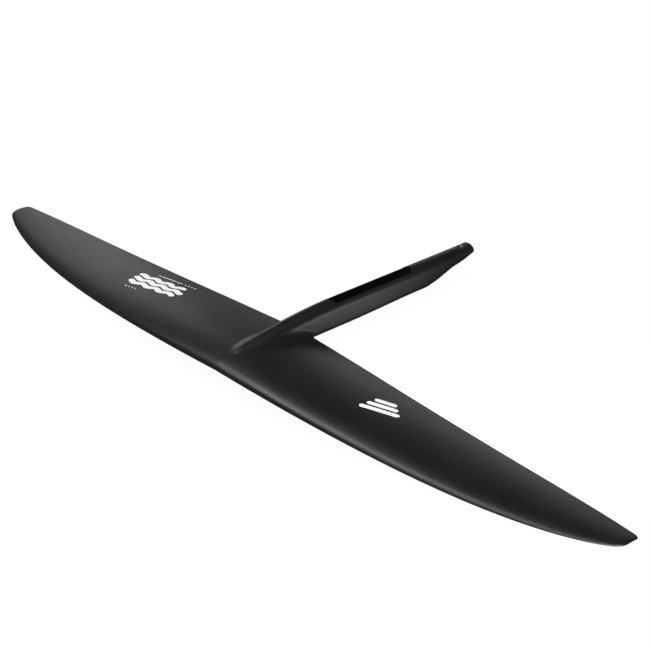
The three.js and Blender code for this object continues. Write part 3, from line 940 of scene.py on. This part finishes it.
def weave(nodes, pitch):
    """A two by two twill at 45 degrees: its height, and where the warp is on top (0 or 1)."""
    place = nodes.add("ShaderNodeSeparateXYZ", Vector=nodes.place).outputs
    facing = nodes.add("ShaderNodeSeparateXYZ", Vector=nodes.facing).outputs
    sideways = nodes.math("GREATER_THAN", nodes.math("ABSOLUTE", facing["X"]), SIDE_WALL)
    level = nodes.times(place["X"], nodes.minus(1.0, sideways))
    across = nodes.plus(level, nodes.times(place["Z"], sideways))
    tows_per_metre = math.sqrt(0.5) / pitch
    warp = nodes.times(nodes.plus(place["Y"], across), tows_per_metre)
    weft = nodes.times(nodes.minus(place["Y"], across), tows_per_metre)

    def crowned(tows):
        centred = nodes.minus(nodes.math("FRACT", tows), 0.5)
        return nodes.minus(1.0, nodes.times(nodes.times(centred, centred), 4.0))

    # the twill repeats after four steps, and the warp is on top in the first two of them
    steps = nodes.plus(nodes.math("FLOOR", warp), nodes.math("FLOOR", weft))
    on_top = nodes.math("LESS_THAN", nodes.math("FRACT", nodes.times(steps, 0.25)), 0.4)
    from_warp = nodes.times(crowned(warp), on_top)
    from_weft = nodes.times(crowned(weft), nodes.minus(1.0, on_top))
    return nodes.plus(from_warp, from_weft), on_top


def coated_carbon():
    """Charcoal twill under a thin satin clear coat, with faint resin-rich cloudiness."""
    nodes = Nodes("satin_coated_carbon")
    height, on_top = weave(nodes, TOW)
    cloud = nodes.noise(scale=14.0, detail=4.0)
    grain = nodes.noise(scale=900.0, detail=2.0)
    colour = nodes.blend(on_top, grey(CARBON_DARK), grey(CARBON_LIGHT))
    clouded = nodes.spread(cloud, low=0.0, high=0.22, from_low=0.35, from_high=0.7)
    smooth, rough = CARBON_ROUGH
    roughness = nodes.spread(cloud, smooth, rough, from_low=0.3, from_high=0.7)
    normal = nodes.bump(height, strength=0.3, distance=0.00012)
    return nodes.finish(
        Base_Color=nodes.blend(clouded, colour, grey(CARBON_CLOUD)),
        Roughness=nodes.plus(roughness, nodes.times(grain, 0.04)),
        Normal=nodes.bump(grain, strength=0.04, distance=0.00008, normal=normal),
        Coat_Weight=0.3,
        Coat_Roughness=0.25,
        IOR=1.5,
    )


def bare_carbon_painted_shade():
    """Uncoated moulded laminate with a peel-ply grain, nearly black: darker than the laminate's own colour,
    as painted shade for the mast pocket's inside.
    """
    nodes = Nodes("bare_carbon_painted_pocket_shade")
    height, on_top = weave(nodes, BARE_TOW)
    speckle = nodes.noise(scale=450.0)
    # painted shade: these greys lie below bare carbon's own colour so that the mast pocket reads black
    colour = nodes.blend(on_top, grey(0.0015), grey(0.003))
    speckled = nodes.spread(speckle, low=0.0, high=0.5, from_low=0.5, from_high=0.8)
    normal = nodes.bump(height, strength=0.25, distance=0.00015)
    return nodes.finish(
        Base_Color=nodes.blend(speckled, colour, grey(0.006)),
        Roughness=nodes.spread(speckle, low=0.6, high=0.8),
        Normal=nodes.bump(speckle, strength=0.2, distance=0.0001, normal=normal),
        Specular_IOR_Level=0.15,
    )


def core_foam():
    """Closed-cell foam core: pale cells with darker walls."""
    nodes = Nodes("closed_cell_foam")
    pale, dark, bright = (0.62, 0.53, 0.33, 1), (0.42, 0.34, 0.19, 1), (0.7, 0.62, 0.42, 1)
    cells = nodes.add("ShaderNodeTexVoronoi", Vector=nodes.place, Scale=700.0).outputs["Distance"]
    walls = nodes.spread(cells, low=0.0, high=1.0, from_low=0.1, from_high=0.7)
    cloud = nodes.spread(nodes.noise(scale=40.0), low=0.0, high=0.3)
    return nodes.finish(
        Base_Color=nodes.blend(cloud, nodes.blend(walls, pale, dark), bright),
        Roughness=nodes.spread(cells, low=0.8, high=0.95),
        Normal=nodes.bump(cells, strength=0.5, distance=0.0004),
    )


def turned_steel(y, finish):
    """Steel with the fine rings of turning about the upright axis at y, in millimetres."""
    dark, light, smooth, rough = finish
    nodes = Nodes(f"turned_steel_{round(abs(y))}_{'rear' if y > 0 else 'front'}")
    centred = nodes.add("ShaderNodeMapping", Vector=nodes.place, Location=(0, -y * MM, 0)).outputs["Vector"]
    rings = nodes.add(
        "ShaderNodeTexWave",
        {"wave_type": "RINGS", "rings_direction": "Z"},
        Vector=centred,
        Scale=1400.0,
        Distortion=0.6,
        Detail=2.0,
    ).outputs["Fac"]
    smudge = nodes.noise(scale=220.0, detail=4.0)
    return nodes.finish(
        Base_Color=nodes.blend(smudge, grey(dark, STEEL_TINT), grey(light, STEEL_TINT)),
        Roughness=nodes.plus(nodes.spread(smudge, smooth, rough), nodes.times(rings, 0.06)),
        Normal=nodes.bump(rings, strength=0.15, distance=0.00005),
        Metallic=1.0,
    )


def white_print():
    """White ink with a hint of the weave through it."""
    nodes = Nodes("white_print")
    height, on_top = weave(nodes, TOW)
    grain = nodes.noise(scale=600.0)
    worn = nodes.spread(grain, low=0.0, high=0.35, from_low=0.45, from_high=0.8)
    return nodes.finish(
        Base_Color=nodes.blend(worn, nodes.blend(on_top, grey(0.86), grey(0.9)), grey(0.8)),
        Roughness=nodes.spread(grain, low=0.38, high=0.5),
        Normal=nodes.bump(height, strength=0.1, distance=0.0001),
    )


def dress_frame(finishes):
    """Gives each carried-over CAD node the finish of its slot in the record."""
    for entry in frame["record"]["subparts"]:
        node = frame["nodes"][entry["node"]]
        node.data.materials.clear()
        node.data.materials.append(finishes[entry["material_slot"]])


# ---------------------------------------------------------------------------------------------
# Floor, light and camera


def seen_directly(tree):
    """One where the camera looks straight at a backdrop, so that it stays pale without lighting the part."""
    return tree.nodes.new("ShaderNodeLightPath").outputs["Is Camera Ray"]


def pale_paper():
    """Pale paper for the camera, which lights the part softly from below on the port side."""
    nodes = Nodes("pale_paper")
    centred = nodes.add(
        "ShaderNodeMapping",
        Vector=nodes.place,
        Location=(-GLOW_PLACE[0], -GLOW_PLACE[1] * GLOW_STRETCH, 0),
        Scale=(1, GLOW_STRETCH, 1),
    )
    away = nodes.add("ShaderNodeVectorMath", {"operation": "LENGTH"})
    nodes.tree.links.new(centred.outputs["Vector"], away.inputs[0])
    middle, edge = GLOW
    glow = nodes.spread(away.outputs["Value"], middle, edge, from_low=0.0, from_high=GLOW_REACH)
    shown = nodes.times(seen_directly(nodes.tree), FLOOR_SHOWN)
    dark, light = FLOOR_GREY
    return nodes.finish(
        Base_Color=nodes.blend(nodes.noise(scale=30.0), grey(dark), grey(light)),
        Emission_Color=grey(1.0),
        Emission_Strength=nodes.math("MAXIMUM", glow, shown),
        Roughness=0.9,
        Specular_IOR_Level=0.0,
    )


def pale_floor():
    """A wide sheet of the paper just under the lowest point of the part."""
    bm = bmesh.new()
    bmesh.ops.create_grid(bm, x_segments=FLOOR_CELLS, y_segments=FLOOR_CELLS, size=FLOOR_HALF)
    for vertex in bm.verts:
        vertex.co.z = cad_bounds[0].z - FLOOR_CLEARANCE
    floor = mesh_object("pale_floor", bm, pale_paper())


def studio_world():
    """A studio that is bright near the horizon and dark overhead."""
    world = bpy.data.worlds.new("studio")
    bpy.context.scene.world = world
    world.use_nodes = True
    tree = world.node_tree
    direction = tree.nodes.new("ShaderNodeTexCoord").outputs["Generated"]
    split = tree.nodes.new("ShaderNodeSeparateXYZ")
    tree.links.new(direction, split.inputs[0])
    ramp = tree.nodes.new("ShaderNodeValToRGB")
    ramp.color_ramp.interpolation = "B_SPLINE"
    while len(ramp.color_ramp.elements) < len(SKY):
        ramp.color_ramp.elements.new(0.5)
    for element, (elevation, level) in zip(ramp.color_ramp.elements, SKY):
        element.position = math.sin(math.radians(elevation))
        element.color = grey(level)
    tree.links.new(split.outputs["Z"], ramp.inputs[0])
    shown = tree.nodes.new("ShaderNodeMix")
    shown.data_type = "RGBA"
    shown.inputs[SECOND_COLOUR].default_value = grey(1.0)
    tree.links.new(seen_directly(tree), shown.inputs[FACTOR])
    tree.links.new(ramp.outputs["Color"], shown.inputs[FIRST_COLOUR])
    tree.links.new(shown.outputs[MIXED_COLOUR], tree.nodes["Background"].inputs["Color"])


def towards(azimuth, elevation):
    """Unit direction; azimuth 0 is the tail's side (+Y) and 90 the port side (+X)."""
    azimuth, elevation = math.radians(azimuth), math.radians(elevation)
    level = math.cos(elevation)
    return Vector((math.sin(azimuth) * level, math.cos(azimuth) * level, math.sin(elevation)))


def softbox(name, target, azimuth, elevation, distance, width, height, radiance):
    """A rectangular light that faces a place on the wing; width and height are the angles that it fills."""
    light = bpy.data.lights.new(name, "AREA")
    light.shape = "RECTANGLE"
    light.size = 2 * distance * math.tan(math.radians(width / 2))
    light.size_y = 2 * distance * math.tan(math.radians(height / 2))
    light.energy = WATTS * radiance * light.size * light.size_y
    lamp = add_object(name, light)
    direction = towards(azimuth, elevation)
    lamp.location = Vector(target) + direction * distance
    lamp.rotation_euler = direction.to_track_quat("Z", "Y").to_euler()
    lamp.visible_camera = False


def photo_camera():
    """A long lens that looks down on the part from its port front quarter."""
    camera = bpy.data.cameras.new("camera")
    camera.lens, camera.sensor_width, camera.clip_end = LENS, SENSOR, FARTHEST_SEEN
    eye = add_object("camera", camera)
    bpy.context.scene.camera = eye
    back = towards(CAMERA_AZIMUTH, CAMERA_ELEVATION)
    right = Vector((0, 0, 1)).cross(back).normalized()
    up = back.cross(right)
    place = right * CAMERA_PLACE[0] + up * CAMERA_PLACE[1] + back * CAMERA_PLACE[2] + Vector(LOOK_AT)
    eye.matrix_world = Matrix.Translation(place * MM) @ Matrix((right, up, back)).transposed().to_4x4()


# ---------------------------------------------------------------------------------------------
# The scene

photo_camera()
studio_world()
pale_floor()
for name, settings in SOFTBOXES.items():
    softbox(name, *settings)
bpy.context.scene.view_settings.view_transform = "Standard"

carbon, bare, ink = coated_carbon(), bare_carbon_painted_shade(), white_print()
dress_frame(
    {
        "carbon_skin": carbon,
        "inner_carbon": bare,
        "foam_core": core_foam(),
        "steel": turned_steel(0.0, BRIGHT_STEEL),
        "white_print": ink,
    }
)
skin("upper_shell", UPPER, carbon, ["upper_skin"])
skin("lower_shell", LOWER, carbon, ["lower_skin"])
# the lining's laminate carries the painted shade of the pocket's inside
pocket_lining(bare)
ferrules()
bars_mark(ink)
waves_mark(ink)
